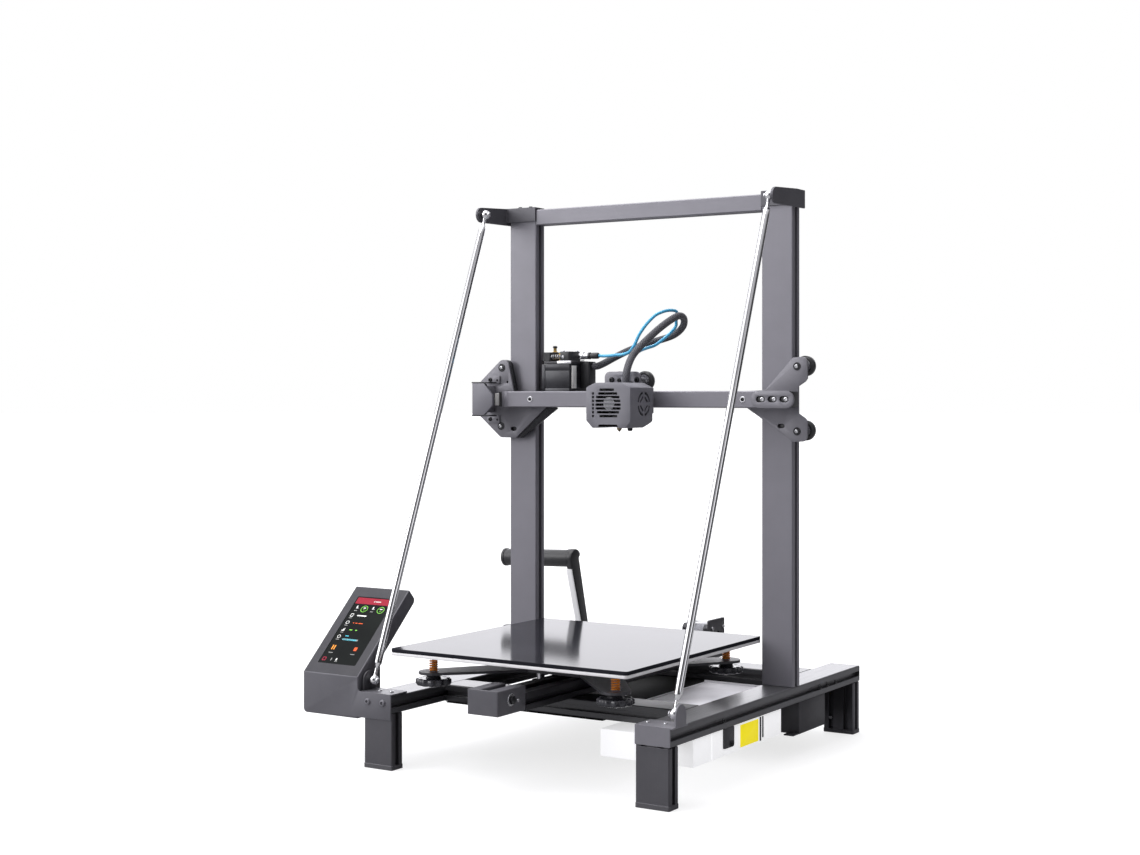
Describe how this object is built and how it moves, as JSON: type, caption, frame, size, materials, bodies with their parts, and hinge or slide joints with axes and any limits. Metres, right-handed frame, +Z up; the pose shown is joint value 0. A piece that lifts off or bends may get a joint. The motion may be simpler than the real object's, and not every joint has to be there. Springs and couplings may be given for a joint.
{
  "type": "fdm printer",
  "caption": "Open-frame filament printer: grey slotted profiles, sliding heated bed, rising gantry with print head, tie rods, side screen and spool arm.",
  "frame": {"origin": "middle of the outer box at the floor, under the feet", "axes": "+Z up, -Y to the front where the bed comes out, +X to the right seen from the front"},
  "size_m": [0.532, 0.572, 0.6687],
  "materials": {
    "frame_grey": "satin gunmetal anodised profile",
    "housing_grey": "satin grey moulded cover",
    "dark_sheet": "dark powder-coated sheet",
    "case_black": "matt black case",
    "black_plastic": "matt black moulding",
    "motor_black": "black lacquered motor",
    "chrome_rod": "polished",
    "screw_steel": "bright steel",
    "zinc_case": "plain metal",
    "bed_glass": "black coated glass",
    "heater_white": "white coated plate",
    "spring_copper": "orange coated wire",
    "screen_glass": "dark glossy window",
    "belt_rubber": "matt",
    "braid_black": "braided sleeve",
    "tube_blue": "blue tube",
    "switch_red": "gloss"
  },
  "bodies": {
    "base_frame": {"left_rail": "frame_grey", "right_rail": "frame_grey", "front_crossbeam": "frame_grey", "rear_crossbeam": "frame_grey", "y_beam": "frame_grey", "front_left_leg": "frame_grey", "front_right_leg": "frame_grey", "rear_left_leg": "frame_grey", "rear_right_leg": "frame_grey", "left_post": "frame_grey", "right_post": "frame_grey", "top_beam": "frame_grey", "screen_housing": "housing_grey", "y_tensioner_block": "housing_grey", "left_top_bracket": "dark_sheet", "right_top_bracket": "dark_sheet", "right_corner_bracket": "dark_sheet", "spool_holder": "dark_sheet", "electronics_box": "case_black", "y_motor": "motor_black", "z_motor": "motor_black", "left_tie_rod": "chrome_rod", "right_tie_rod": "chrome_rod", "psu_case": "zinc_case", "display_panel": "screen_glass", "y_belt": "belt_rubber"},
    "bed": {"glass_plate": "bed_glass", "heat_plate": "heater_white", "bed_carriage": "dark_sheet", "front_left_spring": "spring_copper", "front_right_spring": "spring_copper", "rear_left_spring": "spring_copper", "rear_right_spring": "spring_copper"},
    "gantry": {"x_beam": "frame_grey", "left_gantry_plate": "frame_grey", "right_gantry_plate": "frame_grey", "x_motor": "motor_black", "x_belt": "belt_rubber", "extruder_motor": "motor_black", "extruder_body": "dark_sheet", "hotend_harness": "braid_black", "filament_tube": "tube_blue"},
    "print_head": {"carriage_plate": "frame_grey", "fan_shroud": "housing_grey", "hot_end": "zinc_case"},
    "power_switch_body": {"power_switch": "switch_red"},
    "lead_screw_body": {"lead_screw": "screw_steel"},
    "front_left_knob_body": {"front_left_knob": "black_plastic"},
    "front_right_knob_body": {"front_right_knob": "black_plastic"},
    "rear_left_knob_body": {"rear_left_knob": "black_plastic"},
    "rear_right_knob_body": {"rear_right_knob": "black_plastic"},
    "bed_roller_left_front_body": {"bed_roller_left_front": "black_plastic"},
    "bed_roller_left_rear_body": {"bed_roller_left_rear": "black_plastic"},
    "bed_roller_right_body": {"bed_roller_right": "black_plastic"},
    "post_roller_left_lower_body": {"post_roller_left_lower": "black_plastic"},
    "post_roller_left_upper_body": {"post_roller_left_upper": "black_plastic"},
    "post_roller_right_lower_body": {"post_roller_right_lower": "black_plastic"},
    "post_roller_right_upper_body": {"post_roller_right_upper": "black_plastic"},
    "extruder_lever_body": {"extruder_lever": "black_plastic"},
    "fan_rotor_body": {"fan_rotor": "black_plastic"}
  },
  "joints": [
    {"name": "bed_slide", "type": "slide", "parent": "base_frame", "child": "bed", "axis": [0, 1, 0], "range_m": [-0.073, 0.227]},
    {"name": "gantry_lift", "type": "slide", "parent": "base_frame", "child": "gantry", "axis": [0, 0, 1], "range_m": [-0.2415, 0.12]},
    {"name": "carriage_slide", "type": "slide", "parent": "gantry", "child": "print_head", "axis": [1, 0, 0], "range_m": [-0.146, 0.143], "deforming": ["hotend_harness", "filament_tube"]},
    {"name": "front_left_knob_turn", "type": "hinge", "parent": "bed", "child": "front_left_knob_body", "pos_m": [-0.0805, -0.2117, 0.104], "axis": [0, 0, 1], "continuous": true},
    {"name": "front_right_knob_turn", "type": "hinge", "parent": "bed", "child": "front_right_knob_body", "pos_m": [0.1605, -0.2117, 0.104], "axis": [0, 0, 1], "continuous": true},
    {"name": "rear_left_knob_turn", "type": "hinge", "parent": "bed", "child": "rear_left_knob_body", "pos_m": [-0.0805, 0.0444, 0.104], "axis": [0, 0, 1], "continuous": true},
    {"name": "rear_right_knob_turn", "type": "hinge", "parent": "bed", "child": "rear_right_knob_body", "pos_m": [0.1605, 0.0444, 0.104], "axis": [0, 0, 1], "continuous": true},
    {"name": "bed_roller_left_front_spin", "type": "hinge", "parent": "bed", "child": "bed_roller_left_front_body", "pos_m": [0.0077, -0.124, 0.0948], "axis": [0, 0, 1], "continuous": true},
    {"name": "bed_roller_left_rear_spin", "type": "hinge", "parent": "bed", "child": "bed_roller_left_rear_body", "pos_m": [0.0077, -0.042, 0.0948], "axis": [0, 0, 1], "continuous": true},
    {"name": "bed_roller_right_spin", "type": "hinge", "parent": "bed", "child": "bed_roller_right_body", "pos_m": [0.0723, -0.083, 0.0948], "axis": [0, 0, 1], "continuous": true},
    {"name": "post_roller_left_lower_spin", "type": "hinge", "parent": "gantry", "child": "post_roller_left_lower_body", "pos_m": [-0.1723, 0.0692, 0.386], "axis": [0, 1, 0], "continuous": true},
    {"name": "post_roller_left_upper_spin", "type": "hinge", "parent": "gantry", "child": "post_roller_left_upper_body", "pos_m": [-0.1723, 0.0692, 0.4615], "axis": [0, 1, 0], "continuous": true},
    {"name": "post_roller_right_lower_spin", "type": "hinge", "parent": "gantry", "child": "post_roller_right_lower_body", "pos_m": [0.2523, 0.0692, 0.386], "axis": [0, 1, 0], "continuous": true},
    {"name": "post_roller_right_upper_spin", "type": "hinge", "parent": "gantry", "child": "post_roller_right_upper_body", "pos_m": [0.2523, 0.0692, 0.4615], "axis": [0, 1, 0], "continuous": true},
    {"name": "lead_screw_spin", "type": "hinge", "parent": "base_frame", "child": "lead_screw_body", "pos_m": [-0.165, 0.107, 0.126], "axis": [0, 0, 1], "continuous": true},
    {"name": "fan_spin", "type": "hinge", "parent": "print_head", "child": "fan_rotor_body", "pos_m": [0.045, -0.0303, 0.4175], "axis": [0, 1, 0], "continuous": true},
    {"name": "extruder_lever_press", "type": "hinge", "parent": "gantry", "child": "extruder_lever_body", "pos_m": [-0.096, 0.093, 0.4765], "axis": [0, 0, 1], "range_deg": [0, 12], "stiffness_Nm_per_rad": 0.6, "springref_deg": -6.88},
    {"name": "power_switch_rock", "type": "hinge", "parent": "base_frame", "child": "power_switch_body", "pos_m": [0.176, 0.233, 0.0435], "axis": [1, 0, 0], "range_deg": [0, 16]}
  ],
  "couplings": [
    {"joint": "bed_roller_left_front_spin", "follows": "bed_slide", "rad_per_m": -83.333},
    {"joint": "bed_roller_left_rear_spin", "follows": "bed_slide", "rad_per_m": -83.333},
    {"joint": "bed_roller_right_spin", "follows": "bed_slide", "rad_per_m": 83.333},
    {"joint": "post_roller_left_lower_spin", "follows": "gantry_lift", "rad_per_m": 83.333},
    {"joint": "post_roller_left_upper_spin", "follows": "gantry_lift", "rad_per_m": 83.333},
    {"joint": "post_roller_right_lower_spin", "follows": "gantry_lift", "rad_per_m": -83.333},
    {"joint": "post_roller_right_upper_spin", "follows": "gantry_lift", "rad_per_m": -83.333},
    {"joint": "lead_screw_spin", "follows": "gantry_lift", "rad_per_m": -785.4}
  ]
}
